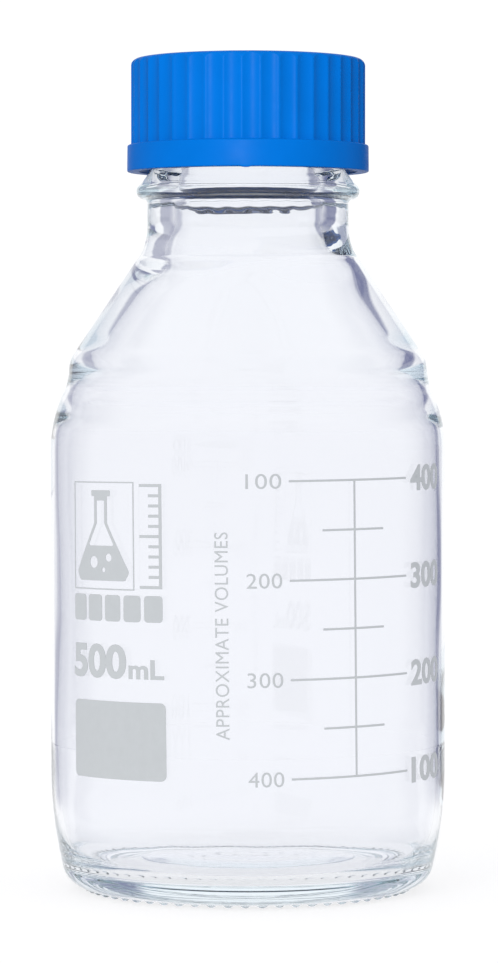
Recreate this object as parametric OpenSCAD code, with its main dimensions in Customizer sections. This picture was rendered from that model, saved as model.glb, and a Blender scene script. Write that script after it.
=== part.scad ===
// Laboratory reagent bottle, 500 ml, with a GL 45 screw cap.
// Millimetres. +Z is up, the bottle stands on Z = 0 and its axis is the Z axis.
// The printed side faces -Y. Azimuths on the wall are counted from -Y, positive towards +X.

/* [Body] */
// Outside diameter of the cylindrical body
body_d = 86; // [84:0.5:90]
// Wall thickness of the cylindrical body
wall = 1.7; // [1.4:0.1:2.4]
// Height from the standing surface to the lip of the glass
glass_h = 175.5; // [174.5:0.5:178]
// Height at which the straight wall ends and the shoulder starts to curve in
shoulder_z = 95.5; // [92:0.5:97]
// Height of the crease between the rounded shoulder and the sloping one
crease_z = 115.6; // [114:0.2:117]
// Thickness of the glass in the middle of the floor
floor_t = 2.2; // [1.6:0.2:3]
// Height of the hollow under the middle of the base
punt_h = 4.2; // [3:0.2:5]

/* [Standing ring] */
// Radius of the ring that the bottle stands on
ring_r = 35.4; // [34.8:0.2:36]
// Number of small pads round the standing ring
pad_count = 62; // [40:1:66]
// Height of each pad
pad_h = 0.5; // [0.3:0.1:0.6]

/* [Neck and mouth] */
// Outside diameter of the plain neck
neck_d = 43.8; // [43.2:0.2:44.6]
// Diameter of the bore through the neck
mouth_d = 31; // [28:0.5:32]
// Widest diameter of the collar below the thread
collar_d = 48.6; // [47.6:0.2:49.2]
// Height of the middle of the collar
collar_z = 151.8; // [151:0.2:152.2]

/* [Thread] */
// Largest diameter of the thread on the glass
thread_d = 44.8; // [44.4:0.1:45.2]
// Depth of the thread on the glass
thread_depth = 1.6; // [1.2:0.1:1.7]
// Advance of the thread for each turn
thread_pitch = 4; // [3.8:0.1:4.2]
// Number of turns of thread on the glass
glass_turns = 1.9; // [1.4:0.1:2]
// Number of turns of thread inside the cap
cap_turns = 2.1; // [1.5:0.1:2.2]
// Gap between the cap and the glass across the thread
thread_gap = 0.35; // [0.3:0.05:0.4]

/* [Cap] */
// Diameter over the ridges of the cap
cap_d = 51; // [50.4:0.2:52]
// Diameter of the plain band at the foot of the cap
band_d = 52.6; // [52.2:0.2:54]
// Height of the foot of the cap above the standing surface
cap_foot_z = 156; // [155.8:0.1:156.4]
// Height of the plain band
band_h = 5.8; // [4:0.2:7]
// Thickness of the top of the cap
cap_top_t = 2.1; // [1.6:0.1:2.6]
// Number of grip flutes round the cap
flutes = 40; // [30:1:44]
// Depth of each grip flute
flute_depth = 0.5; // [0.3:0.05:0.7]
// Rounding of the upper edge of the cap
cap_round = 1.6; // [1:0.1:2]

/* [Seals] */
// Thickness of the pouring ring over the lip
pour_t = 1.4; // [1:0.1:1.6]
// Thickness of the sealing disc under the top of the cap
liner_t = 1.5; // [1:0.1:2]

/* [Print] */
// Thickness of the fired enamel print
enamel_t = 0.1; // [0.08:0.02:0.2]
// Height of the uppermost graduation line
scale_top = 89.8; // [86:0.2:92]
// Height from one hundred millilitres to the next
scale_step = 20.6; // [19:0.2:21.5]
// Width of a graduation line
line_w = 0.5; // [0.4:0.05:0.8]
// Lean of the print, in degrees, rising to the right
lean = 0.6; // [0:0.1:1]

/* [Hidden] */
$fn = 96;
eps = 0.02;
R = body_d / 2;                         // outside of the body
Ri = R - wall;                          // inside of the body
neck_r = neck_d / 2;
mouth_r = mouth_d / 2;
collar_r = collar_d / 2;
crest_r = thread_d / 2;                 // crest of the glass thread
root_r = crest_r - thread_depth;        // root of the glass thread
lip_r = 19.6;                           // reduced lip that carries the pouring ring
cap_bore_r = crest_r + thread_gap;      // root of the cap thread
cap_crest_r = root_r + thread_gap;      // crest of the cap thread
pour_z = glass_h + pour_t;              // top of the pouring ring
liner_z = pour_z + liner_t;             // top of the sealing disc
cap_z = liner_z + cap_top_t;            // top of the cap
thread_z = glass_h - 4.2 - thread_pitch * glass_turns;   // foot of the glass thread
cap_thread_z = thread_z - thread_pitch / 2;              // foot of the cap thread

// ---- helpers -------------------------------------------------------------
// Points along a circular arc in the (radius, height) plane
function arc(c, r, a0, a1, n) =
    [for (i = [0:n]) let (a = a0 + (a1 - a0) * i / n) [c[0] + r * cos(a), c[1] + r * sin(a)]];

// Smooth curve through control points (Catmull-Rom), n steps for each span
function cr_pt(a, b, c, d, t) =
    0.5 * ((2 * b) + (c - a) * t + (2 * a - 5 * b + 4 * c - d) * t * t
           + (3 * b - a - 3 * c + d) * t * t * t);
function smooth(p, n) = concat(
    [for (i = [0:len(p) - 2], k = [0:n - 1])
        cr_pt(p[max(i - 1, 0)], p[i], p[i + 1], p[min(i + 2, len(p) - 1)], k / n)],
    [p[len(p) - 1]]);

// Ridge of a helical thread. side = 1 stands outwards, -1 stands inwards.
// w0 and w1 are the half widths at the root and at the crest.
module helix_ridge(root, crest, w0, w1, z0, turns, pitch, side = 1, per_turn = 48) {
    n = ceil(turns * per_turn);
    base = root - side * 0.35;
    pts = [for (i = [0:n]) let (
            a = 360 * turns * i / n,
            f = max(0.12, min(1, a / 40, (360 * turns - a) / 40)),
            rc = base + f * (crest - base),
            rm = base + f * (crest - side * 0.3 - base),
            z = z0 + pitch * a / 360)
        for (q = [[base, -w0], [rm, -w1 - 0.2], [rc, -w1], [rc, w1], [rm, w1 + 0.2], [base, w0]])
            [q[0] * cos(a), q[0] * sin(a), z + q[1] * (0.35 + 0.65 * f)]];
    m = 6;
    flip = side < 0;
    faces = concat(
        [[for (k = [0:m - 1]) k]],
        [[for (k = [m - 1:-1:0]) n * m + k]],
        [for (i = [0:n - 1], k = [0:m - 1])
            [i * m + k, (i + 1) * m + k, (i + 1) * m + (k + 1) % m]],
        [for (i = [0:n - 1], k = [0:m - 1])
            [i * m + k, (i + 1) * m + (k + 1) % m, i * m + (k + 1) % m]]);
    polyhedron(points = pts, convexity = 6,
               faces = flip ? faces : [for (q = faces) [for (j = [len(q) - 1:-1:0]) q[j]]]);
}

// ---- glass ---------------------------------------------------------------
heel_c = [R - 7.9, 5.95];
heel_a = 13.3;
// Outer surface, from under the middle of the base up to the lip
outer_curve = concat(
    smooth([[0, punt_h], [10, punt_h - 0.1], [20, punt_h - 0.6], [27, punt_h - 1.3], [31, 1.9]], 3),
    [[32.6, 1.3], [33.6, 0.7], [34.4, pad_h]],
    arc(heel_c, 5.45, -90, -heel_a, 8),
    arc([R - 97, 27], 97, -heel_a + 1.5, 0, 8),
    arc([R - 29.6, shoulder_z], 29.6, 0, 26.5, 10),
    smooth([[R - 3.5, shoulder_z + 14.4], [R - 3.95, crease_z - 3.8], [R - 4.1, crease_z - 2],
            [R - 4.35, crease_z - 0.7], [R - 4.8, crease_z + 0.5], [R - 5.5, crease_z + 1.6]], 3),
    arc([neck_r + 12.5, 144.2], 12.5, 213.7, 180, 8),
    [[neck_r, collar_z - 2.7], [neck_r + 0.15, collar_z - 2.1]],
    arc([collar_r - 1.75, collar_z], 1.75, -72, 58, 9),
    [[21.7, collar_z + 3.7], [root_r + 0.25, collar_z + 4.6], [root_r, collar_z + 5.6],
     [root_r, glass_h - 3.3], [lip_r, glass_h - 2.5], [lip_r, glass_h - 1.3]],
    arc([lip_r - 1.2, glass_h - 1.2], 1.2, 10, 90, 5));

// Inner surface, from the lip down to the middle of the floor
inner_curve = concat(
    arc([mouth_r + 1, glass_h - 1], 1, 90, 180, 5),
    smooth([[mouth_r, 151.9], [mouth_r + 0.35, 150], [mouth_r + 0.55, 148.3], [mouth_r + 0.7, 146.3],
            [mouth_r + 1.05, 143.9], [mouth_r + 2.1, 140.6], [mouth_r + 3.8, 137], [22.1, 132.8],
            [25.4, 128.2], [28.7, 123.8], [31.9, 119.6], [35, 115.6], [R - 6.7, 113], [R - 5.9, 110.8],
            [R - 4.5, 106.6], [R - 3.1, 103.4], [Ri - 0.5, 101], [Ri - 0.1, 98.6], [Ri, 96]], 3),
    [[Ri, 32]],
    smooth([[Ri, 31], [Ri - 0.25, 24], [Ri - 0.9, 16], [Ri - 2, 10.2], [Ri - 3.8, 7.1],
            [Ri - 6.6, 5.4], [30.5, 4.8], [27.4, 5]], 3),
    smooth([[27, 5.2], [20, punt_h + floor_t - 0.5], [10, punt_h + floor_t - 0.1],
            [0, punt_h + floor_t]], 3));

module bottle_glass() {
    color([0.86, 0.92, 0.95, 0.35]) {
        rotate_extrude() polygon(concat(outer_curve, inner_curve));
        // thread of the finish
        helix_ridge(root_r, crest_r, 1.25, 0.45, thread_z, glass_turns, thread_pitch, 1);
        // pads of the standing ring
        for (i = [0:pad_count - 1]) rotate([0, 0, 360 * i / pad_count])
            translate([ring_r, 0, 0]) cylinder(r1 = 0.7, r2 = 1.25, h = pad_h + 0.35, $fn = 16);
    }
}

// ---- closure -------------------------------------------------------------
module pouring_ring() {
    color([0.05, 0.4, 0.8])
    rotate_extrude() polygon([
        [mouth_r + 0.6, glass_h], [mouth_r + 0.6, pour_z - 0.4], [mouth_r + 1, pour_z],
        [cap_crest_r - 0.75, pour_z], [cap_crest_r - 0.4, pour_z - 0.3],
        [lip_r + 0.85, glass_h - 0.1], [lip_r + 0.75, glass_h - 2.2],
        [lip_r + 0.1, glass_h - 2.2], [lip_r + 0.1, glass_h]]);
}

module sealing_disc() {
    color([0.92, 0.93, 0.93])
    difference() {
        translate([0, 0, pour_z]) cylinder(r = cap_bore_r - 0.9, h = liner_t);
        // shallow relief inside the sealing face
        translate([0, 0, pour_z - 1]) cylinder(r = mouth_r - 0.5, h = 1.4);
    }
}

module cap_outline() {
    fr = 4;                                   // radius of each flute
    difference() {
        circle(r = cap_d / 2, $fn = 180);
        for (i = [0:flutes - 1]) rotate(360 * (i + 0.5) / flutes - 93)
            translate([cap_d / 2 - flute_depth + fr, 0]) circle(r = fr, $fn = 48);
    }
}

module screw_cap() {
    color([0, 0.44, 0.87]) {
        difference() {
            union() {
                intersection() {
                    translate([0, 0, cap_foot_z + 1]) linear_extrude(cap_z - cap_foot_z) cap_outline();
                    rotate_extrude() polygon(concat(
                        [[0, cap_foot_z], [cap_d / 2 + 1, cap_foot_z], [cap_d / 2 + 1, cap_z - cap_round - 1]],
                        arc([cap_d / 2 - cap_round, cap_z - cap_round], cap_round, 0, 90, 6),
                        [[17.2, cap_z], [16.8, cap_z - 0.4], [0, cap_z - 0.4]]));
                }
                // plain band at the foot
                rotate_extrude() polygon([
                    [cap_bore_r - 2, cap_foot_z], [band_d / 2 - 0.35, cap_foot_z],
                    [band_d / 2, cap_foot_z + 0.35], [band_d / 2, cap_foot_z + band_h - 0.45],
                    [band_d / 2 - 0.45, cap_foot_z + band_h], [cap_bore_r - 2, cap_foot_z + band_h]]);
            }
            // bore, with a lead-in at the foot
            rotate_extrude() polygon([
                [0, cap_foot_z - 1], [cap_bore_r + 0.9, cap_foot_z - 1], [cap_bore_r + 0.9, cap_foot_z + 0.3],
                [cap_bore_r, cap_foot_z + 1.2], [cap_bore_r, liner_z], [0, liner_z]]);
        }
        helix_ridge(cap_bore_r, cap_crest_r, 1.1, 0.35, cap_thread_z, cap_turns, thread_pitch, -1);
    }
}

// ---- enamel print --------------------------------------------------------
// Keeps the skin of whatever is drawn through the front of the wall
module on_wall() {
    intersection() {
        difference() {
            translate([0, 0, 20]) cylinder(r = R + enamel_t, h = 76, $fn = 180);
            translate([0, 0, 19]) cylinder(r = R, h = 78, $fn = 180);
        }
        union() children();
    }
}
// Draws a flat shape through the wall at an azimuth and a height
module stamp(az, z) {
    rotate([0, 0, az]) translate([0, 4 - R, z + tan(lean) * R * az * PI / 180])
        rotate([90, 0, 0]) linear_extrude(5) rotate(lean) children();
}

// Strokes of the numerals: w and h are the cell, t the stroke
module ring_part(r, t, a0, a1) {
    rotate(a0) intersection() {
        difference() { circle(r = r + t / 2, $fn = 40); circle(r = r - t / 2, $fn = 40); }
        polygon(concat([[0, 0]], [for (i = [0:6]) let (a = (a1 - a0) * i / 6) 3 * r * [cos(a), sin(a)]]));
    }
}
module bar(a, b, t) {
    d = b - a;
    u = d / norm(d);
    v = [-u[1], u[0]] * t / 2;
    polygon([a - v, b - v, b + v, a + v]);
}
module digit(n, w, h, t) {
    r = (w - t) / 2;          // centre line radius of the bowls
    x = w / 2;
    if (n == "0") {
        translate([x, h - t / 2 - r]) ring_part(r, t, 0, 180);
        translate([x, t / 2 + r]) ring_part(r, t, 180, 360);
        bar([t / 2, t / 2 + r], [t / 2, h - t / 2 - r], t);
        bar([w - t / 2, t / 2 + r], [w - t / 2, h - t / 2 - r], t);
    } else if (n == "1") {
        bar([x + t / 4, 0], [x + t / 4, h], t);
        bar([x + t / 4, h - t / 2], [x - r * 0.9, h - 1.6 * t], t * 0.9);
    } else if (n == "2") {
        translate([x, h - t / 2 - r]) ring_part(r, t, -30, 175);
        bar([w - t * 0.78, h - t / 2 - 1.55 * r], [t * 0.6, t * 0.7], t);
        bar([0, t / 2], [w, t / 2], t);
    } else if (n == "3") {
        ru = (h - t) / 4;
        translate([x * 0.8, h - t / 2 - ru]) ring_part(ru, t, -90, 140);
        translate([x * 0.8, t / 2 + ru]) ring_part(ru, t, -140, 90);
    } else if (n == "4") {
        bar([w * 0.72, 0], [w * 0.72, h], t);
        bar([w * 0.66, h - t * 0.3], [t * 0.3, h * 0.3], t * 0.8);
        bar([0, h * 0.27], [w, h * 0.27], t);
    } else if (n == "5") {
        translate([x * 0.9, t / 2 + r]) ring_part(r, t, -140, 90);
        bar([t * 0.5, t / 2 + 2 * r], [x * 0.97, t / 2 + 2 * r], t * 0.9);
        bar([t * 0.5, h], [t * 0.5, t / 2 + 1.9 * r], t);
        bar([0, h - t / 2], [w * 0.95, h - t / 2], t);
    } else if (n == "m") {
        for (i = [0, 1]) translate([t / 2 + r * 0.75 + i * r * 1.5, h - t / 2 - r * 0.75])
            ring_part(r * 0.75, t, 0, 180);
        for (i = [0:2]) bar([t / 2 + i * r * 1.5, 0], [t / 2 + i * r * 1.5, h - t / 2 - (i == 0 ? 0 : r * 0.6)], t);
    } else if (n == "l") {
        bar([t / 2, 0], [t / 2, h * 1.4], t);
        bar([0, t / 2], [w * 0.8, t / 2], t);
    }
}
// A row of numerals: first cell starts at azimuth az, foot at height z
module numerals(s, az, z, w, h, t, gap) {
    for (i = [0:len(s) - 1]) stamp(az + (i * (w + gap) + w / 2) / R * 180 / PI, z)
        translate([-w / 2, 0]) digit(s[i], w, h, t);
}

module graduation_lines() {
    mid = scale_top - 1.5 * scale_step - 0.2;
    color([0.8, 0.82, 0.82]) on_wall() stamp(31.5, mid) union() {
        for (i = [0:3]) translate([-14.8, (1.5 - i) * scale_step - line_w / 2]) square([29.6, line_w]);
        for (i = [0:2]) translate([-7.6, (1 - i) * scale_step - line_w / 2]) square([15.2, line_w]);
        translate([-line_w / 2, -1.5 * scale_step]) square([line_w, 3 * scale_step]);
    }
}

module graduation_numerals() {
    color([0.8, 0.82, 0.82]) on_wall() {
        // contents left to pour, thin figures left of the lines
        for (i = [0:3]) numerals(str((i + 1) * 100), -0.4, scale_top - i * scale_step - 1.75, 2.1, 3.4, 0.42, 0.45);
        // contents in the bottle, bold figures right of the lines
        for (i = [0:3]) numerals(str((4 - i) * 100), 53.3, scale_top - i * scale_step - 2.9, 4, 5.5, 0.95, 0.5);
    }
}

module capacity_mark() {
    color([0.8, 0.82, 0.82]) on_wall() {
        numerals("500", -58.9, 48.4, 5.1, 7.2, 1.3, 0.6);
        stamp(-32.4, 48.5) translate([-2.4, 0]) digit("m", 3.5, 3.1, 0.75);
        stamp(-26.1, 48.5) translate([-1.2, 0]) digit("l", 3, 2.9, 0.75);
    }
}

// Plain emblem: a framed flask, a strip of ticks beside it and a row of blocks under it
module emblem_print() {
    color([0.8, 0.82, 0.82]) on_wall() {
        stamp(-46, 78.5) union() {
            difference() { square([18.6, 22.7], center = true); square([17.9, 22], center = true); }
            polygon([[-2, 9.5], [-2, 2.5], [-7.6, -7.4], [-6.4, -9.5], [6.4, -9.5], [7.6, -7.4], [2, 2.5], [2, 9.5]]);
        }
        stamp(-27.9, 78.3) union() {
            translate([1.9, -11]) square([0.7, 22]);
            for (i = [0:10]) translate([i % 5 == 0 ? -2.6 : 0, 2.13 * (i - 5) - 0.35])
                square([i % 5 == 0 ? 5.2 : 2.6, 0.7]);
        }
        for (i = [0:4]) stamp(-55.5 + i * 7.05, 63.2) square([4.3, 5.7], center = true);
    }
}

module writing_panel() {
    color([0.8, 0.83, 0.82]) on_wall()
        stamp(-41.1, 35.4) union() {
            square([25.8, 14], center = true);
            square([23.4, 16.4], center = true);
            for (x = [-11.7, 11.7], y = [-7, 7]) translate([x, y]) circle(r = 1.2, $fn = 32);
        }
}

bottle_glass();
pouring_ring();
sealing_disc();
screw_cap();
graduation_lines();
graduation_numerals();
capacity_mark();
emblem_print();
writing_panel();
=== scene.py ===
import math

import bmesh
import bpy
import numpy as np
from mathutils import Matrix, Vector


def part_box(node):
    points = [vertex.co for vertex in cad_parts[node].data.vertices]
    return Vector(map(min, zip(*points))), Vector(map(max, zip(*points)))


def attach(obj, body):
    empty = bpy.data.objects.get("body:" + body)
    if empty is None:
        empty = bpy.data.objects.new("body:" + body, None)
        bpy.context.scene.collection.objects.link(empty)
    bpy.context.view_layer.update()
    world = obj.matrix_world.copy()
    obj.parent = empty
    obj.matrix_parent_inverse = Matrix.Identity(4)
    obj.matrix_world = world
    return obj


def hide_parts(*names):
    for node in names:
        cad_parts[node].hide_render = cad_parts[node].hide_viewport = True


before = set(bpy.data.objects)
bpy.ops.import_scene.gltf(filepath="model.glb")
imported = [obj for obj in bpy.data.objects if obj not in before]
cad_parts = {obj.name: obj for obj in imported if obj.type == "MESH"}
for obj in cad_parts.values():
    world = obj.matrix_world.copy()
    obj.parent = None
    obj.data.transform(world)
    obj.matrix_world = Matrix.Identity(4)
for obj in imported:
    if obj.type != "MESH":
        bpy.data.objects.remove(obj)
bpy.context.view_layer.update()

MM = 0.001
scene = bpy.context.scene

# ------------------------------------------------------------------ sizes (mm)
# The same design dimensions as the CAD model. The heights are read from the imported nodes.
R = 43.0                 # outside of the body
RI = 41.3                # inside of the body
NECK_R = 21.9
MOUTH_R = 15.5
GLASS_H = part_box("bottle_glass")[1].z / MM
PITCH = 4.0
CREST_R, ROOT_R = 22.4, 20.8
GLASS_TURNS, CAP_TURNS = 1.9, 2.1
THREAD_Z = GLASS_H - 4.2 - PITCH * GLASS_TURNS
CAP_THREAD_Z = THREAD_Z - PITCH / 2
CAP_BORE, CAP_CREST = 22.75, 21.15
POUR_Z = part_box("pouring_ring")[1].z / MM
LINER_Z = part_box("sealing_disc")[1].z / MM
CAP_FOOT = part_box("screw_cap")[0].z / MM
CAP_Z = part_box("screw_cap")[1].z / MM
BAND_TOP = CAP_FOOT + 5.8
SHOULDER_Z, CREASE_Z, COLLAR_Z = 95.5, 115.6, 151.8
PAD_R, PADS, PAD_H = 35.4, 62, 0.5


# ------------------------------------------------------------------ curve helpers
def arc(c, r, a0, a1, n):
    return [(c[0] + r * math.cos(math.radians(a0 + (a1 - a0) * i / n)),
             c[1] + r * math.sin(math.radians(a0 + (a1 - a0) * i / n))) for i in range(n + 1)]


def smooth(p, n):
    out = []
    for i in range(len(p) - 1):
        a, b, c, d = (np.array(p[max(i - 1, 0)]), np.array(p[i]), np.array(p[i + 1]),
                      np.array(p[min(i + 2, len(p) - 1)]))
        for k in range(n):
            t = k / n
            out.append(tuple(0.5 * (2 * b + (c - a) * t + (2 * a - 5 * b + 4 * c - d) * t * t
                                    + (3 * b - a - 3 * c + d) * t ** 3)))
    out.append(tuple(p[-1]))
    return out


def line(a, b, step):
    n = max(1, int(math.ceil(math.dist(a, b) / step)))
    return [(a[0] + (b[0] - a[0]) * i / n, a[1] + (b[1] - a[1]) * i / n) for i in range(n + 1)]


def chain(*parts):
    """Joins curves end to end, dropping points that repeat."""
    out = []
    for part in parts:
        for p in part:
            if not out or math.dist(p, out[-1]) > 0.012:
                out.append((float(p[0]), float(p[1])))
    return out


def fillet(points, radius, n=4, closed=True):
    """Rounds the corners of a polygon. radius is one number or one for each corner."""
    out = []
    m = len(points)
    for i, p in enumerate(points):
        r = radius[i] if isinstance(radius, (list, tuple)) else radius
        if (not closed and i in (0, m - 1)) or r <= 0:
            out.append(p)
            continue
        p = np.array(p, float)
        a, b = np.array(points[i - 1], float), np.array(points[(i + 1) % m], float)
        u, v = a - p, b - p
        lu, lv = np.linalg.norm(u), np.linalg.norm(v)
        u, v = u / lu, v / lv
        ang = math.acos(max(-1, min(1, float(u @ v))))
        if ang > math.radians(176):
            out.append(tuple(p))
            continue
        t = min(r / math.tan(ang / 2), 0.45 * lu, 0.45 * lv)
        s, e = p + u * t, p + v * t
        for k in range(n + 1):
            w = k / n
            out.append(tuple((1 - w) ** 2 * s + 2 * w * (1 - w) * p + w * w * e))
    return out


def smin(a, b, k):
    h = np.clip(0.5 + 0.5 * (b - a) / k, 0, 1)
    return b * (1 - h) + a * h - k * h * (1 - h)


def sstep(x, lo, hi):
    t = np.clip((x - lo) / (hi - lo), 0, 1)
    return t * t * (3 - 2 * t)


def new_mesh(name, verts_mm, faces):
    me = bpy.data.meshes.new(name)
    me.from_pydata((np.asarray(verts_mm, float) * MM).tolist(), [], faces)
    me.validate()
    me.update()
    me.polygons.foreach_set("use_smooth", [True] * len(me.polygons))
    ob = bpy.data.objects.new(name, me)
    scene.collection.objects.link(ob)
    return ob


def lathe(name, rings, shape, closed=False, start=0.0):
    """A surface of revolution with detail. rings is a list of (r, z, tag, segments); shape(tag, r, z, theta) gives the
    radius and height at each angle. A ring of radius 0 is one point. Neighbouring rings may differ in segments by a whole
    factor. The order of the rings is such that the angle's direction times the rings' direction points out of the solid."""
    verts, index = [], []
    for r, z, tag, n in rings:
        if r <= 1e-9:
            rr, zz = shape(tag, np.array([0.0]), np.array([z]), np.array([0.0]))
            index.append([len(verts)])
            verts.append((0.0, 0.0, float(zz[0])))
            continue
        th = math.radians(start) + 2 * math.pi * np.arange(n) / n
        rr, zz = shape(tag, np.full(n, r), np.full(n, z), th)
        index.append(list(range(len(verts), len(verts) + n)))
        verts.extend(zip((rr * np.cos(th)).tolist(), (rr * np.sin(th)).tolist(), zz.tolist()))
    faces = []
    pairs = list(zip(index[:-1], index[1:]))
    if closed:
        pairs.append((index[-1], index[0]))
    for a, b in pairs:
        na, nb = len(a), len(b)
        if na == 1:
            faces += [(a[0], b[(j + 1) % nb], b[j]) for j in range(nb)]
        elif nb == 1:
            faces += [(a[j], a[(j + 1) % na], b[0]) for j in range(na)]
        elif na == nb:
            faces += [(a[j], a[(j + 1) % na], b[(j + 1) % na], b[j]) for j in range(na)]
        elif na > nb:
            q = na // nb
            faces += [tuple(a[(j * q + i) % na] for i in range(q + 1)) + (b[(j + 1) % nb], b[j]) for j in range(nb)]
        else:
            q = nb // na
            faces += [(a[j], a[(j + 1) % na]) + tuple(b[(j * q + i) % nb] for i in range(q, -1, -1)) for j in range(na)]
    return new_mesh(name, verts, faces)


# ------------------------------------------------------------------ material helpers
def material(name, color, roughness, **sockets):
    m = bpy.data.materials.new(name)
    m.use_nodes = True
    nt = m.node_tree
    bsdf = nt.nodes["Principled BSDF"]
    bsdf.inputs["Base Color"].default_value = (*color, 1)
    bsdf.inputs["Roughness"].default_value = roughness
    for k, v in sockets.items():
        bsdf.inputs[k.replace("_", " ")].default_value = v
    return m, nt, bsdf


def add(nt, kind, **values):
    n = nt.nodes.new(kind)
    for k, v in values.items():
        if k in n.inputs:
            n.inputs[k].default_value = v
        else:
            setattr(n, k, v)
    return n


def vary_color(nt, bsdf, color, scale, amount, detail=4.0):
    """Soft variation of the base colour, amount either way."""
    co = add(nt, "ShaderNodeTexCoord")
    no = add(nt, "ShaderNodeTexNoise", Scale=scale, Detail=detail, Roughness=0.6)
    ramp = add(nt, "ShaderNodeMapRange")
    ramp.inputs["From Min"].default_value, ramp.inputs["From Max"].default_value = 0.3, 0.7
    ramp.inputs["To Min"].default_value, ramp.inputs["To Max"].default_value = 1 - amount, 1 + amount
    mul = add(nt, "ShaderNodeVectorMath", operation="SCALE")
    mul.inputs[0].default_value = color
    nt.links.new(co.outputs["Object"], no.inputs["Vector"])
    nt.links.new(no.outputs["Fac"], ramp.inputs["Value"])
    nt.links.new(ramp.outputs["Result"], mul.inputs["Scale"])
    nt.links.new(mul.outputs["Vector"], bsdf.inputs["Base Color"])
    return co


def vary_roughness(nt, bsdf, co, scale, lo, hi):
    no = add(nt, "ShaderNodeTexNoise", Scale=scale, Detail=5.0, Roughness=0.65)
    ramp = add(nt, "ShaderNodeMapRange")
    ramp.inputs["From Min"].default_value, ramp.inputs["From Max"].default_value = 0.3, 0.7
    ramp.inputs["To Min"].default_value, ramp.inputs["To Max"].default_value = lo, hi
    nt.links.new(co.outputs["Object"], no.inputs["Vector"])
    nt.links.new(no.outputs["Fac"], ramp.inputs["Value"])
    nt.links.new(ramp.outputs["Result"], bsdf.inputs["Roughness"])


def bump(nt, bsdf, co, scale, strength, distance_mm, detail=3.0):
    no = add(nt, "ShaderNodeTexNoise", Scale=scale, Detail=detail, Roughness=0.6)
    bp = add(nt, "ShaderNodeBump", Strength=strength, Distance=distance_mm * MM)
    nt.links.new(co.outputs["Object"], no.inputs["Vector"])
    nt.links.new(no.outputs["Fac"], bp.inputs["Height"])
    nt.links.new(bp.outputs["Normal"], bsdf.inputs["Normal"])


# Clear borosilicate glass: faintly blue, greener where the path through it is long
glass, nt, bsdf = material("clear_borosilicate", (0.945, 0.952, 0.974), 0.0, IOR=1.473, Transmission_Weight=1.0,
                           Specular_IOR_Level=0.5)
absorb = add(nt, "ShaderNodeVolumeAbsorption", Color=(0.22, 0.68, 0.80, 1), Density=2.2)
nt.links.new(absorb.outputs["Volume"], nt.nodes["Material Output"].inputs["Volume"])

# Moulded polypropylene of the cap and the pouring ring
CAP_BLUE = (0.0, 0.094, 0.375)
cap_mat, nt, bsdf = material("blue_polypropylene", CAP_BLUE, 0.38, IOR=1.49, Specular_IOR_Level=0.02)
co = vary_color(nt, bsdf, CAP_BLUE, 90.0, 0.035)
vary_roughness(nt, bsdf, co, 300.0, 0.30, 0.42)
bump(nt, bsdf, co, 1400.0, 0.25, 0.02)
ring_mat, nt, bsdf = material("blue_polypropylene_ring", (0.004, 0.16, 0.66), 0.25, IOR=1.49, Specular_IOR_Level=0.4)
co = vary_color(nt, bsdf, (0.004, 0.16, 0.66), 120.0, 0.03)
vary_roughness(nt, bsdf, co, 200.0, 0.2, 0.3)
bump(nt, bsdf, co, 900.0, 0.15, 0.015)

# Sealing disc: faced silicone
seal_mat, nt, bsdf = material("faced_silicone", (0.80, 0.81, 0.80), 0.45, IOR=1.41, Subsurface_Weight=0.1)
co = vary_color(nt, bsdf, (0.80, 0.81, 0.80), 60.0, 0.03)
bump(nt, bsdf, co, 700.0, 0.2, 0.02)

# Fired enamel: a slightly grainy screen print
ENAMEL = (0.525, 0.550, 0.560)
enamel, nt, bsdf = material("grey_enamel", ENAMEL, 0.55, IOR=1.5, Specular_IOR_Level=0.4)
co = vary_color(nt, bsdf, ENAMEL, 500.0, 0.02, detail=6.0)
vary_roughness(nt, bsdf, co, 500.0, 0.45, 0.62)
bump(nt, bsdf, co, 1800.0, 0.3, 0.012, detail=2.0)


def finish_piece(ob, mat, body, slot, *nodes):
    ob.data.materials.clear()
    ob.data.materials.append(mat)
    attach(ob, body)
    if nodes:
        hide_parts(*nodes)
    return ob


# ------------------------------------------------------------------ glass
heel_c = (R - 7.9, 5.95)
under = smooth([(0, 4.2), (10, 4.1), (20, 3.6), (27, 2.9), (31, 1.9), (32.6, 1.3), (33.6, 0.75)], 8)
heel = chain(line((33.6, 0.75), (34.4, PAD_H), 0.2), arc(heel_c, 5.45, -90, -78, 6))
outer_a = chain(arc(heel_c, 5.45, -78, -13.3, 26), arc((R - 97, 27), 97, -13.0, 0, 30))
body = line((R, 27), (R, SHOULDER_Z), 3.0)
shoulder = chain(
    arc((R - 29.6, SHOULDER_Z), 29.6, 0, 26.5, 26),
    smooth([(R - 3.5, SHOULDER_Z + 14.4), (R - 3.92, CREASE_Z - 3.8), (R - 4.05, CREASE_Z - 2),
            (R - 4.3, CREASE_Z - 0.7), (R - 4.8, CREASE_Z + 0.5), (R - 5.5, CREASE_Z + 1.6)], 6),
    line((R - 5.5, CREASE_Z + 1.6), (24.1, 137.2), 0.8),
    arc((NECK_R + 12.5, 144.2), 12.5, 213.7, 180, 18),
    line((NECK_R, 144.3), (NECK_R, COLLAR_Z - 2.8), 0.5),
    smooth([(NECK_R, COLLAR_Z - 2.8), (NECK_R + 0.12, COLLAR_Z - 2.2), (NECK_R + 0.6, COLLAR_Z - 1.75),
            (23.1, COLLAR_Z - 1.66)], 4),
    arc((22.55, COLLAR_Z), 1.75, -68, 54, 22),
    smooth([(23.5, COLLAR_Z + 1.5), (22.8, COLLAR_Z + 2.35), (21.7, COLLAR_Z + 3.7), (21.1, COLLAR_Z + 4.6),
            (ROOT_R + 0.03, COLLAR_Z + 5.6)], 5),
)
finish_z0 = COLLAR_Z + 6.0
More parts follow.
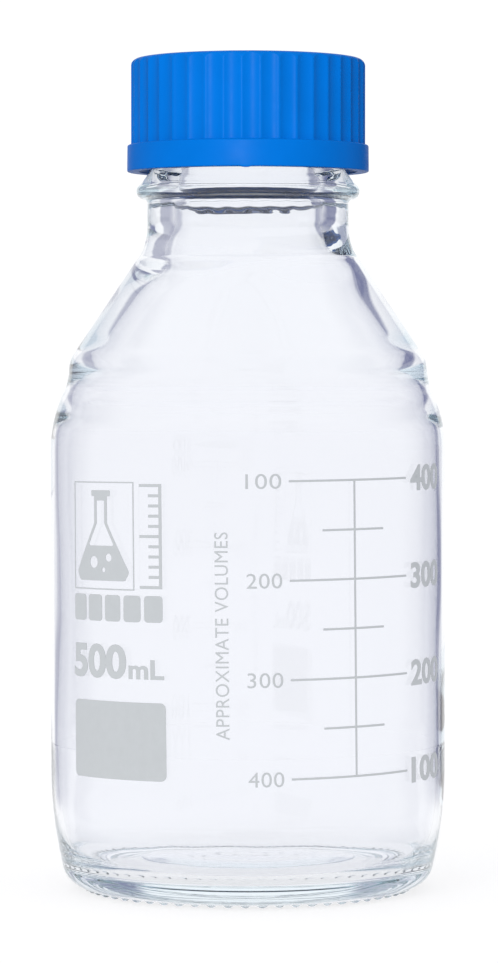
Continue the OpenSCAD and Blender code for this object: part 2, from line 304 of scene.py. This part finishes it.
thread_part = line((ROOT_R, finish_z0), (ROOT_R, GLASS_H - 3.3), 0.22)
lip = chain(fillet([(ROOT_R, GLASS_H - 3.3), (19.6, GLASS_H - 2.5), (19.6, GLASS_H - 1.2)], 0.5, 4, closed=False),
            arc((18.4, GLASS_H - 1.2), 1.2, 0, 90, 8), line((18.4, GLASS_H), (MOUTH_R + 1, GLASS_H), 0.5),
            arc((MOUTH_R + 1, GLASS_H - 1), 1, 90, 180, 8))
bore = line((MOUTH_R, GLASS_H - 1), (MOUTH_R, 151.9), 0.8)
inside_a = smooth([(MOUTH_R, 151.9), (15.62, 151.2), (15.85, 150.0), (16.05, 148.3), (16.2, 146.3), (16.55, 143.9),
                   (17.6, 140.6), (19.3, 137.0), (22.1, 132.8), (25.4, 128.2), (28.7, 123.8), (31.9, 119.6),
                   (35.0, 115.6), (36.3, 113.0), (37.1, 110.8), (38.5, 106.6), (39.9, 103.4), (RI - 0.5, 101),
                   (RI - 0.1, 98.6), (RI, 96)], 9)
inside_b = line((RI, 96), (RI, 32), 3.0)
inside_c = chain(smooth([(RI, 32), (RI, 31), (RI - 0.25, 24), (RI - 0.9, 16), (RI - 2, 10.2), (RI - 3.8, 7.1),
                         (RI - 6.6, 5.4), (30.5, 4.8), (26.5, 4.75), (23.5, 4.9)], 8),
                 smooth([(23.3, 5.0), (22.6, 5.2), (16, 5.95), (8, 6.3), (0, 6.4)], 8))

N_BODY, N_BASE = 248, 248 * 3
rings = []
for pts, tag, n in ((under, "under", N_BODY), (heel, "pad", N_BASE), (outer_a[:10], "pad", N_BASE),
                    (outer_a[10:], "out", N_BODY), (body, "out", N_BODY), (shoulder, "out", N_BODY),
                    (thread_part, "thread", N_BODY), (lip, "lip", N_BODY), (bore, "bore", N_BODY),
                    (inside_a, "in", N_BODY), (inside_b, "in", N_BODY), (inside_c, "in", N_BODY)):
    for p in pts:
        if rings and math.dist(p, rings[-1][:2]) < 0.012:
            continue
        rings.append((p[0], p[1], tag, n))
rings[-1] = (0.0, rings[-1][1], "in", N_BODY)
rings[0] = (0.0, rings[0][1], "under", N_BODY)


def glass_shape(tag, r, z, th):
    r, z = r.copy(), z.copy()
    if tag == "pad":
        # small domed pads hanging from the standing ring
        step = 2 * math.pi / PADS
        k = np.round((th - 0.35 * step) / step)
        dth = th - 0.35 * step - k * step
        d = np.sqrt((r - PAD_R) ** 2 + (PAD_R * dth) ** 2)
        size = 1.12 + 0.10 * np.sin(k * 2.3) + 0.06 * np.sin(k * 5.1)
        dome = 0.02 + 0.62 * (d / size) ** 2.4
        z = smin(z, dome, 0.12)
        z = np.maximum(z, 0.02)
    if tag == "thread":
        best = np.zeros_like(r)
        deg = np.degrees(th) % 360
        for k in (0, 1):
            a = deg + 360 * k
            f = np.clip(np.minimum(a, 360 * GLASS_TURNS - a) / 40, 0, 1)
            dz = np.abs(z - (THREAD_Z + PITCH * a / 360))
            h = 1 - sstep(dz, 0.35, 1.25)
            best = np.maximum(best, h * sstep(f, 0, 1))
        r = r + (CREST_R - ROOT_R) * best
    if tag in ("in", "bore"):
        # the inside is blown, so it wanders a little; at the neck it sits to one side
        side = np.cos(th)
        lean = 1.1 * np.exp(-((z - 135.5) / 3.8) ** 2)
        wave = (0.10 * np.sin(2 * th + 0.9 + z * 0.05) + 0.06 * np.sin(3 * th - 0.4 - z * 0.08)
                + 0.03 * np.sin(7 * th + z * 0.11) + 0.012 * np.sin(0.4 * z + 2 * th))
        neck = np.exp(-((z - 141.0) / 7.0) ** 2)
        wave = wave * (1 - 0.6 * sstep(z, 98.0, 106.0))
        wave = wave + neck * (0.012 * np.sin(0.9 * z + 1.5 * np.sin(th * 2)) + 0.02 * np.sin(5 * th + 0.3 * z))
        wave = wave + 0.05 * np.exp(-((z - 7.0) / 4.0) ** 2) * np.sin(17 * th + 2.0 * np.sin(3 * th))
        wave = wave + 0.03 * np.exp(-((z - 150.0) / 2.5) ** 2) * np.sin(23 * th + 0.8 * z)
        fade = sstep(r, 0.0, 25.0) * (1 - sstep(z, 152.0, 160.0))
        r = r + (lean * side + wave) * fade
    return r, z


bottle = lathe("bottle_glass_shell", rings, glass_shape)
finish_piece(bottle, glass, "bottle", "clear_glass", "bottle_glass")

# ------------------------------------------------------------------ pouring ring and sealing disc
ring_pts = fillet([(MOUTH_R + 0.6, GLASS_H), (MOUTH_R + 0.6, POUR_Z - 0.45), (MOUTH_R + 1.0, POUR_Z),
                   (CAP_CREST - 0.75, POUR_Z), (CAP_CREST - 0.4, POUR_Z - 0.3), (20.45, GLASS_H - 0.1),
                   (20.35, GLASS_H - 2.2), (19.7, GLASS_H - 2.2), (19.7, GLASS_H)],
                  [0.15, 0.3, 0.3, 0.2, 0.12, 0.4, 0.2, 0.2, 0.1], 5)
ring_pts = ring_pts[::-1]
pour = lathe("pouring_ring_moulded", [(r, z, "", 192) for r, z in ring_pts], lambda t, r, z, th: (r, z), closed=True)
finish_piece(pour, ring_mat, "bottle", "blue_ring_plastic", "pouring_ring")

disc_r = CAP_BORE - 0.9
disc_pts = chain(line((0, POUR_Z + 0.4), (MOUTH_R - 0.8, POUR_Z + 0.4), 2.5),
                 fillet([(MOUTH_R - 0.8, POUR_Z + 0.4), (MOUTH_R - 0.5, POUR_Z), (disc_r, POUR_Z), (disc_r, LINER_Z),
                         (disc_r - 1.5, LINER_Z)], [0, 0.2, 0.35, 0.35, 0], 5, closed=False),
                 line((disc_r - 1.5, LINER_Z), (0, LINER_Z), 3.0))
disc = lathe("sealing_disc_faced", [(0.0 if r < 0.01 else r, z, "", 160) for r, z in disc_pts],
             lambda t, r, z, th: (r, z))
finish_piece(disc, seal_mat, "seal", "white_seal", "sealing_disc")

# ------------------------------------------------------------------ cap
CAP_R, BAND_R, ROUND, DEPTH, FLUTE_R, FLUTES = 25.5, 26.3, 1.6, 0.5, 4.0, 40
N_OUT, N_IN = 800, 200
inner = chain(line((0, LINER_Z), (CAP_BORE - 0.5, LINER_Z), 3.0), arc((CAP_BORE - 0.5, LINER_Z - 0.5), 0.5, 90, 0, 5),
              line((CAP_BORE, LINER_Z - 0.5), (CAP_BORE, CAP_FOOT + 1.2), 0.24))
foot_in = chain(fillet([(CAP_BORE, CAP_FOOT + 1.2), (CAP_BORE + 0.9, CAP_FOOT + 0.3), (CAP_BORE + 0.9, CAP_FOOT),
                        (BAND_R - 1.0, CAP_FOOT)], [0, 0.2, 0.2, 0], 4, closed=False))
foot_out = fillet([(BAND_R - 1.0, CAP_FOOT), (BAND_R, CAP_FOOT), (BAND_R, CAP_FOOT + 1.5)], [0, 0.35, 0], 6, closed=False)
band = line((BAND_R, CAP_FOOT + 1.5), (BAND_R - 0.05, BAND_TOP - 1.0), 1.0)
ledge = fillet([(BAND_R - 0.05, BAND_TOP - 1.0), (BAND_R - 0.05, BAND_TOP), (CAP_R - 0.6, BAND_TOP)], [0, 0.5, 0], 7,
               closed=False)[:-1]
side_pts = chain([(CAP_R, BAND_TOP + 0.03), (CAP_R, BAND_TOP + 0.12), (CAP_R, BAND_TOP + 0.3), (CAP_R, BAND_TOP + 0.7)],
                 line((CAP_R, BAND_TOP + 1.4), (CAP_R, CAP_Z - ROUND), 1.3),
                 arc((CAP_R - ROUND, CAP_Z - ROUND), ROUND, 0, 90, 22))
top_pts = chain(line((CAP_R - ROUND, CAP_Z), (17.6, CAP_Z), 1.2),
                fillet([(17.6, CAP_Z), (17.2, CAP_Z), (16.8, CAP_Z - 0.4), (16.0, CAP_Z - 0.4)], [0, 0.3, 0.3, 0], 5,
                       closed=False),
                line((16.0, CAP_Z - 0.4), (3.2, CAP_Z - 0.4), 1.6),
                smooth([(3.2, CAP_Z - 0.4), (2.6, CAP_Z - 0.45), (2.2, CAP_Z - 0.62), (1.0, CAP_Z - 0.66), (0, CAP_Z - 0.66)], 3))
rings = []
for pts, tag, n in ((inner, "thread", N_IN), (foot_in, "foot", N_IN), (foot_out, "foot", N_OUT), (band, "band", N_OUT),
                    (ledge, "band", N_OUT), (side_pts, "side", N_OUT), (top_pts, "top", N_OUT)):
    for p in pts:
        if rings and math.dist(p, rings[-1][:2]) < 0.008:
            continue
        rings.append((p[0], p[1], tag, n))
rings[-1] = (0.0, rings[-1][1], "top", N_OUT)
# the middle of the top needs no more than a quarter of the points
rings = [(r, z, t, N_IN if t == "top" and r < 17.3 else n) for r, z, t, n in rings]


def cap_shape(tag, r, z, th):
    r, z = r.copy(), z.copy()
    if tag == "thread":
        best = np.zeros_like(r)
        deg = np.degrees(th) % 360
        for k in (0, 1, 2):
            a = deg + 360 * k
            f = np.clip(np.minimum(a, 360 * CAP_TURNS - a) / 40, 0, 1)
            dz = np.abs(z - (CAP_THREAD_Z + PITCH * a / 360))
            h = 1 - sstep(dz, 0.28, 1.1)
            best = np.maximum(best, h * sstep(f, 0, 1))
        r = np.where(r > CAP_BORE - 0.3, r - (CAP_BORE - CAP_CREST) * best, r)
    if tag == "foot":
        # a small moulding nib under the foot, at the front
        phi = np.degrees(th) + 90 + 0.9
        phi = (phi + 180) % 360 - 180
        z = z - 0.22 * np.exp(-(phi * 0.459 / 1.0) ** 4) * sstep(r, 24.2, 25.0) * (1 - sstep(z, CAP_FOOT + 0.2, CAP_FOOT + 0.5))
    if tag in ("side", "top"):
        step = 2 * math.pi / FLUTES
        c = math.radians(-88.5)
        d = th - c - np.round((th - c) / step) * step
        big = CAP_R - DEPTH + FLUTE_R
        inside = np.maximum(FLUTE_R ** 2 - (big * np.sin(d)) ** 2, 0)
        fl = big * np.cos(d) - np.sqrt(inside)
        rr = smin(r, fl, 0.09)
        if tag == "side":
            # the flutes run out into the ledge of the band
            foot = np.exp(-np.maximum(z - BAND_TOP, 0) / 0.10) * 0.10
            r = np.minimum(rr + foot, BAND_R - 0.6)
        else:
            r = np.where(r > 20, rr, r)
    return r, z


cap = lathe("screw_cap_moulded", rings, cap_shape, start=-88.5)
finish_piece(cap, cap_mat, "cap", "blue_cap_plastic", "screw_cap")

# ------------------------------------------------------------------ enamel print
SKIN_IN, SKIN_OUT = 0.008, 0.078      # mm above the glass
TILT = 0.0105                         # the whole print leans by this slope


def wrap(bm, phi0, z0):
    """Bends a flat print (x along the wall, y up, z out, in mm) round the body, with x = 0 at azimuth phi0."""
    for v in bm.verts:
        u = math.radians(phi0) * R + v.co.x - TILT * (z0 + v.co.y - 59)
        th = u / R - math.pi / 2
        rr = R + v.co.z
        z = z0 + v.co.y + TILT * u
        v.co = Vector((rr * math.cos(th), rr * math.sin(th), z)) * MM


def slice_up(bm, step=0.8):
    xs = [v.co.x for v in bm.verts]
    n = int((max(xs) - min(xs)) / step)
    x0 = min(xs)
    for i in range(1, n + 1):
        geom = bm.verts[:] + bm.edges[:] + bm.faces[:]
        bmesh.ops.bisect_plane(bm, geom=geom, plane_co=(x0 + i * step, 0, 0), plane_no=(1, 0, 0), dist=1e-5)


def thicken(bm):
    """Gives a flat print its thickness, as one closed skin."""
    bmesh.ops.remove_doubles(bm, verts=bm.verts[:], dist=1e-4)
    bmesh.ops.dissolve_degenerate(bm, edges=bm.edges[:], dist=1e-4)
    for f in bm.faces:
        if f.normal.z < 0:
            f.normal_flip()
    for v in bm.verts:
        v.co.z = SKIN_OUT
    top = bm.faces[:]
    dup = bmesh.ops.duplicate(bm, geom=bm.verts[:] + bm.edges[:] + top)
    vmap = dup["vert_map"]
    low = [g for g in dup["geom"] if isinstance(g, bmesh.types.BMFace)]
    lows = set(low)
    for g in dup["geom"]:
        if isinstance(g, bmesh.types.BMVert):
            g.co.z = SKIN_IN
    for f in low:
        f.normal_flip()
    walls = []
    for e in list(bm.edges):
        if len(e.link_faces) == 1 and e.link_faces[0] not in lows:
            loop = e.link_loops[0]
            a, b = loop.vert, loop.link_loop_next.vert
            walls.append((a, b))
    for a, b in walls:
        bm.faces.new((b, a, vmap[a], vmap[b]))


def flat_polygon(bm, outline, holes=()):
    """A filled outline with holes, on z = 0."""
    edges = []
    for loop in (outline, *holes):
        vs = [bm.verts.new((x, y, 0)) for x, y in loop]
        edges += [bm.edges.new((vs[i], vs[(i + 1) % len(vs)])) for i in range(len(vs))]
    bmesh.ops.triangle_fill(bm, use_beauty=True, use_dissolve=False, edges=edges)


def flat_text(bm, text, width, height, x=0.0, y=0.0, bold=0.0, turn=0.0, spacing=1.0):
    """Lettering fitted to width and height, its lower left corner at x, y. turn is in degrees."""
    cu = bpy.data.curves.new("lettering", "FONT")
    cu.body = text
    cu.size = 1.0
    cu.offset = bold
    cu.space_character = spacing
    cu.resolution_u = 5
    ob = bpy.data.objects.new("lettering", cu)
    scene.collection.objects.link(ob)
    dg = bpy.context.evaluated_depsgraph_get()
    me = bpy.data.meshes.new_from_object(ob.evaluated_get(dg))
    bpy.data.objects.remove(ob)
    xs = [v.co.x for v in me.vertices]
    ys = [v.co.y for v in me.vertices]
    lo, hi = (min(xs), min(ys)), (max(xs), max(ys))
    sx, sy = width / (hi[0] - lo[0]), height / (hi[1] - lo[1])
    c, s = math.cos(math.radians(turn)), math.sin(math.radians(turn))
    made = []
    for v in me.vertices:
        px, py = (v.co.x - lo[0]) * sx, (v.co.y - lo[1]) * sy
        made.append(bm.verts.new((x + px * c - py * s, y + px * s + py * c, 0)))
    for p in me.polygons:
        try:
            bm.faces.new([made[i] for i in p.vertices])
        except ValueError:
            pass
    bpy.data.meshes.remove(me)


def rounded(x0, y0, x1, y1, r, n=8):
    pts = []
    for cx, cy, a in ((x1 - r, y1 - r, 0), (x0 + r, y1 - r, 90), (x0 + r, y0 + r, 180), (x1 - r, y0 + r, 270)):
        pts += arc((cx, cy), r, a, a + 90, n)
    return pts


def print_piece(name, parts, *nodes):
    """parts is a list of (azimuth, height, drawing function). Each is drawn flat, cut into strips and wrapped."""
    whole = bmesh.new()
    for phi0, z0, draw in parts:
        bm = bmesh.new()
        draw(bm)
        bm.normal_update()
        slice_up(bm)
        bm.normal_update()
        thicken(bm)
        bmesh.ops.triangulate(bm, faces=[f for f in bm.faces if len(f.verts) > 4])
        wrap(bm, phi0, z0)
        me = bpy.data.meshes.new("part")
        bm.to_mesh(me)
        whole.from_mesh(me)
        bpy.data.meshes.remove(me)
        bm.free()
    bmesh.ops.recalc_face_normals(whole, faces=whole.faces[:])
    me = bpy.data.meshes.new(name)
    whole.to_mesh(me)
    whole.free()
    ob = bpy.data.objects.new(name, me)
    scene.collection.objects.link(ob)
    return finish_piece(ob, enamel, "bottle", "grey_enamel", *nodes)


TOP, STEP, LINE = 89.9, 20.68, 0.46
LEAN0 = TILT * R * math.radians(31.5)


def ladder(bm):
    """The ladder as one outline: rungs on both sides of the upright."""
    h, w = LINE / 2, LINE / 2
    rungs = [(1.5 * STEP - i * STEP / 2, 14.8 if i % 2 == 0 else 7.55) for i in range(7)]
    right, left = [], []
    for y, x in rungs:
        right += [(w, y + h), (x, y + h), (x, y - h), (w, y - h)]
        left += [(-w, y + h), (-x, y + h), (-x, y - h), (-w, y - h)]
    pts = right + left[::-1]
    flat_polygon(bm, pts)


print_piece("graduation_ladder_print", [(31.5, TOP - 1.5 * STEP - LEAN0 + 0.1, ladder)], "graduation_lines")

numerals = []
for i in range(4):
    z = TOP - i * STEP
    numerals.append((-0.3, z, lambda bm, i=i: flat_text(bm, str(100 * (i + 1)), 7.5, 3.15, 0, -1.7, spacing=1.05)))
    numerals.append((53.4, z, lambda bm, i=i: flat_text(bm, str(100 * (4 - i)), 13.2, 5.6, 0, -3.0, bold=0.03)))
print_piece("graduation_numerals_print", numerals, "graduation_numerals")

print_piece("volume_caption_print",
            [(-9.2, 58.8, lambda bm: flat_text(bm, "APPROXIMATE VOLUMES", 43.2, 2.85, 2.9, -22.7, bold=0.0, turn=90,
                                               spacing=1.06))])

print_piece("capacity_print",
            [(-59.0, 51.2, lambda bm: (flat_text(bm, "500", 16.9, 7.35, 0.0, -2.9, bold=0.035),
                                       flat_text(bm, "mL", 8.7, 4.15, 17.5, -2.75, bold=0.03)))], "capacity_mark")


def emblem(bm):
    """A conical flask in a thin frame, a strip of ticks beside it and a row of blocks under it."""
    flat_polygon(bm, [(-12.8, -8.0), (6.0, -8.0), (6.0, 14.8), (-12.8, 14.8)],
                 [[(-12.5, -7.7), (5.7, -7.7), (5.7, 14.5), (-12.5, 14.5)]])
    cx, cy = -3.4, 3.4
    flask = [(-2.9, 9.6), (-2.9, 8.3), (-2.0, 8.3), (-2.0, 2.6), (-8.1, -7.6), (-7.0, -9.5), (7.0, -9.5), (8.1, -7.6),
             (2.0, 2.6), (2.0, 8.3), (2.9, 8.3), (2.9, 9.6)][::-1]
    rad = [0.3, 0.3, 0.2, 1.2, 1.0, 1.0, 1.0, 1.0, 1.2, 0.2, 0.3, 0.3]
    window = [(-4.0, -2.1), (-1.2, 2.6), (-1.2, 7.4), (1.2, 7.4), (1.2, 2.6), (4.0, -2.1)]
    holes = [fillet(window, [0.4, 0.8, 0.3, 0.3, 0.8, 0.4], 4), arc((-2.2, -5.6), 1.25, 0, 345, 23),
             arc((2.4, -4.6), 0.85, 0, 345, 23), arc((0.9, -7.2), 0.5, 0, 345, 23)]
    flat_polygon(bm, [(x + cx, y + cy) for x, y in fillet(flask, rad, 5)],
                 [[(x + cx, y + cy) for x, y in h] for h in holes])
    strip = [(12.75, -7.6), (12.75, 14.4), (12.05, 14.4)]
    for i in range(10, -1, -1):
        y = 2.13 * (i - 5) + 3.4
        x = 7.4 if i % 5 == 0 else 9.6
        strip += [(12.05, y + 0.32), (x, y + 0.32), (x, y - 0.32), (12.05, y - 0.32)]
    strip += [(12.05, -7.6)]
    flat_polygon(bm, strip)
    for i in range(5):
        x = -12.8 + i * 5.3
        flat_polygon(bm, rounded(x, -14.6, x + 4.4, -9.0, 0.8, 5))


print_piece("emblem_mark", [(-41.4, 75.0, emblem)], "emblem_print")

print_piece("writing_panel_print",
            [(-41.1, 35.4, lambda bm: flat_polygon(bm, rounded(-13.1, -8.2, 13.1, 8.2, 1.3)))], "writing_panel")

# ------------------------------------------------------------------ stage, light and camera
floor_me = bpy.data.meshes.new("studio_floor")
floor_me.from_pydata([(-60, -60, -0.00005), (60, -60, -0.00005), (60, 60, -0.00005), (-60, 60, -0.00005)], [], [(0, 1, 2, 3)])
floor = bpy.data.objects.new("studio_floor", floor_me)
scene.collection.objects.link(floor)
fm = bpy.data.materials.new("floor_glow_with_painted_shade")
fm.use_nodes = True
nt = fm.node_tree
nt.nodes.remove(nt.nodes["Principled BSDF"])


def math_node(nt, op, a, b=None, clamp=False):
    n = add(nt, "ShaderNodeMath", operation=op)
    n.use_clamp = clamp
    for i, v in enumerate((a, b)):
        if v is None:
            continue
        if isinstance(v, (int, float)):
            n.inputs[i].default_value = v
        else:
            nt.links.new(v, n.inputs[i])
    return n.outputs[0]


def ramp_node(nt, value, lo, hi, out_lo=0.0, out_hi=1.0):
    n = add(nt, "ShaderNodeMapRange", interpolation_type="SMOOTHSTEP")
    for k, v in (("From Min", lo), ("From Max", hi), ("To Min", out_lo), ("To Max", out_hi)):
        n.inputs[k].default_value = v
    nt.links.new(value, n.inputs["Value"])
    return n.outputs["Result"]


# Behind the bottle a wide white lane is flanked by greyer walls, darker on the right; the rest is pale. The world
# lights the scene with this pattern, and the floor repeats it as painted shade.
LANE = (22.0, 27.5)        # degrees off the lane's middle where it starts to fall off, and where it is fully grey
FLANK = (46.0, 66.0)       # where the grey flank starts to rise again, and where it is pale


def flank_node(nt, u, v):
    """How grey a place is: 0 in the lane, up to 1 in the flanks. u is sideways, v is away from the camera's side."""
    ang = math_node(nt, "ABSOLUTE", math_node(nt, "ARCTAN2", u, v))
    up = ramp_node(nt, ang, math.radians(LANE[0]), math.radians(LANE[1]))
    down = ramp_node(nt, ang, math.radians(FLANK[0]), math.radians(FLANK[1]), 1.0, 0.25)
    return math_node(nt, "MULTIPLY", up, down)


geo = add(nt, "ShaderNodeNewGeometry")
sep = add(nt, "ShaderNodeSeparateXYZ")
nt.links.new(geo.outputs["Position"], sep.inputs[0])
fx, fy = sep.outputs[0], sep.outputs[1]
ax = math_node(nt, "MAXIMUM", math_node(nt, "SUBTRACT", math_node(nt, "ABSOLUTE", fx), 0.045), 0.0)
rad = math_node(nt, "SQRT", math_node(nt, "ADD", math_node(nt, "MULTIPLY", fx, fx), math_node(nt, "MULTIPLY", fy, fy)))
# Painted shade on the floor: bluish-grey flanks beside the white lane, only from 0.11-0.19 m out from the bottle and
# heavier on the right, standing in for the dark surroundings seen through the glass.
painted_shade_reach = ramp_node(nt, rad, 0.11, 0.19)
painted_shade_side_weight = ramp_node(nt, fx, -0.05, 0.05, 0.70, 1.0)
grey = math_node(nt, "MULTIPLY", math_node(nt, "MULTIPLY", flank_node(nt, ax, fy), painted_shade_reach), painted_shade_side_weight)
white = math_node(nt, "SUBTRACT", 1.0, grey)
# Diffuse colour: grey in the painted shade, pale elsewhere.
dmix = add(nt, "ShaderNodeMix", data_type="RGBA")
dmix.inputs[6].default_value = (0.14, 0.14, 0.18, 1)
dmix.inputs[7].default_value = (0.30, 0.30, 0.30, 1)
nt.links.new(white, dmix.inputs[0])
diff = add(nt, "ShaderNodeBsdfDiffuse")
nt.links.new(dmix.outputs[2], diff.inputs["Color"])
# The floor glows as well: white in the lane and near the bottle, dim and bluish in the painted shade.
emix = add(nt, "ShaderNodeMix", data_type="RGBA")
emix.inputs[6].default_value = (0.115, 0.125, 0.20, 1)
emix.inputs[7].default_value = (0.75, 0.75, 0.755, 1)
nt.links.new(white, emix.inputs[0])
emis = add(nt, "ShaderNodeEmission", Strength=1.0)
nt.links.new(emix.outputs[2], emis.inputs["Color"])
both = add(nt, "ShaderNodeAddShader")
nt.links.new(diff.outputs[0], both.inputs[0])
nt.links.new(emis.outputs[0], both.inputs[1])
nt.links.new(both.outputs[0], nt.nodes["Material Output"].inputs["Surface"])
floor_me.materials.append(fm)

# The room: a white wall behind, grey flanks beside it, pale sides and front, and a bright ceiling
world = bpy.data.worlds.new("studio")
scene.world = world
world.use_nodes = True
nt = world.node_tree
bg = nt.nodes["Background"]
co = add(nt, "ShaderNodeTexCoord")
sep = add(nt, "ShaderNodeSeparateXYZ")
nt.links.new(co.outputs["Generated"], sep.inputs[0])
wx, wy, wz = sep.outputs
flank = math_node(nt, "MULTIPLY", flank_node(nt, wx, wy), ramp_node(nt, wx, -0.1, 0.1, 0.70, 1.0))
sky_f = ramp_node(nt, wz, 0.42, 0.80)
fac = math_node(nt, "MAXIMUM", math_node(nt, "SUBTRACT", 1.0, flank), sky_f)
mix = add(nt, "ShaderNodeMix", data_type="RGBA")
mix.inputs[6].default_value = (0.205, 0.22, 0.36, 1)
mix.inputs[7].default_value = (1.03, 1.03, 1.04, 1)
nt.links.new(fac, mix.inputs[0])
nt.links.new(mix.outputs[2], bg.inputs["Color"])
bg.inputs["Strength"].default_value = 1.0


def area(name, pos, target, size, power, color=(1, 1, 1)):
    li = bpy.data.lights.new(name, "AREA")
    li.shape = "RECTANGLE"
    li.size, li.size_y = size
    li.energy = power
    li.color = color
    ob = bpy.data.objects.new(name, li)
    scene.collection.objects.link(ob)
    ob.location = pos
    ob.rotation_euler = (Vector(target) - Vector(pos)).to_track_quat("-Z", "Y").to_euler()
    ob.visible_camera = False
    return ob


key = area("key_softbox", (-0.70, -1.25, 0.62), (0, 0, 0.12), (0.5, 0.7), 4.5)
key.visible_glossy = key.visible_transmission = False
strip = area("strip_light", (-0.16, -1.25, 0.36), (0, 0, 0.17), (0.16, 0.4), 16.0)
strip.visible_transmission = False
lit = bpy.data.collections.new("lit_by_strip")
scene.collection.children.link(lit)
for ob in (cap, disc, pour):
    lit.objects.link(ob)
strip.light_linking.receiver_collection = lit

cam_data = bpy.data.cameras.new("camera")
cam = bpy.data.objects.new("camera", cam_data)
scene.collection.objects.link(cam)
cam_data.lens = 145.65
cam_data.sensor_width = 36
cam_data.clip_start = 0.05
cam_data.clip_end = 50
cam.location = (0.00022, -0.85, 0.1125)
target = Vector((0.00022, 0.0, 0.1125 - 0.85 * 109.5 / 3896))
cam.rotation_euler = (target - cam.location).to_track_quat("-Z", "Y").to_euler()
scene.camera = cam

scene.view_settings.view_transform = "Standard"
scene.view_settings.look = "None"
scene.view_settings.exposure = 0
scene.view_settings.gamma = 1
scene.cycles.max_bounces = 64
scene.cycles.transmission_bounces = 64
scene.cycles.glossy_bounces = 64
scene.cycles.diffuse_bounces = 4
scene.cycles.transparent_max_bounces = 12
